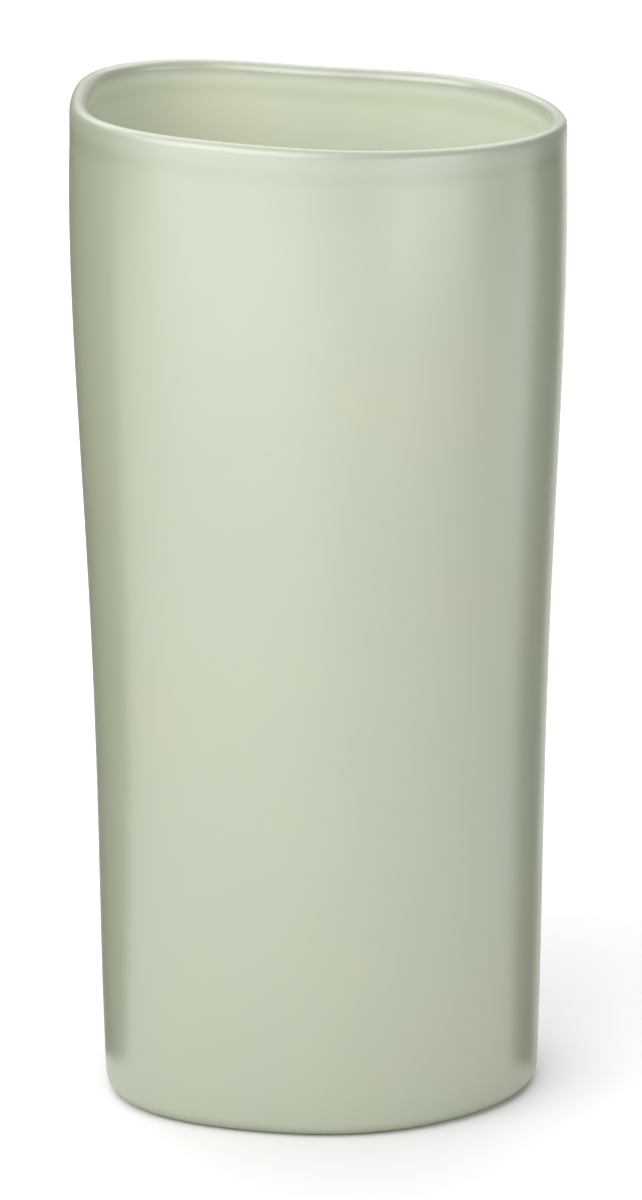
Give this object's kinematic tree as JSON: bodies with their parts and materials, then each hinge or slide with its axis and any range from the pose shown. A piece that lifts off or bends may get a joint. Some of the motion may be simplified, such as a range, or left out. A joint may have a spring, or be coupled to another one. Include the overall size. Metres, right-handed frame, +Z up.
{
  "type": "brush pot",
  "caption": "Tall open pot with a soft, uneven, rounded-square plan, flaring gently to a sloping lip, for standing brushes or pens in.",
  "frame": {"origin": "middle of the pot's plan at the level of the table it stands on", "axes": "+Z up along the pot's height, +X the pot's right and -Y its front, towards the viewer"},
  "size_m": [0.0978, 0.0918, 0.2023],
  "materials": {
    "fired_clay": "bare fired stoneware, matt",
    "outer_glaze": "satin sage green glaze",
    "inner_glaze": "satin sage green glaze"
  },
  "bodies": {
    "root": {"stoneware_body": "fired_clay", "outer_glaze": "outer_glaze", "inner_glaze": "inner_glaze"}
  },
  "joints": []
}
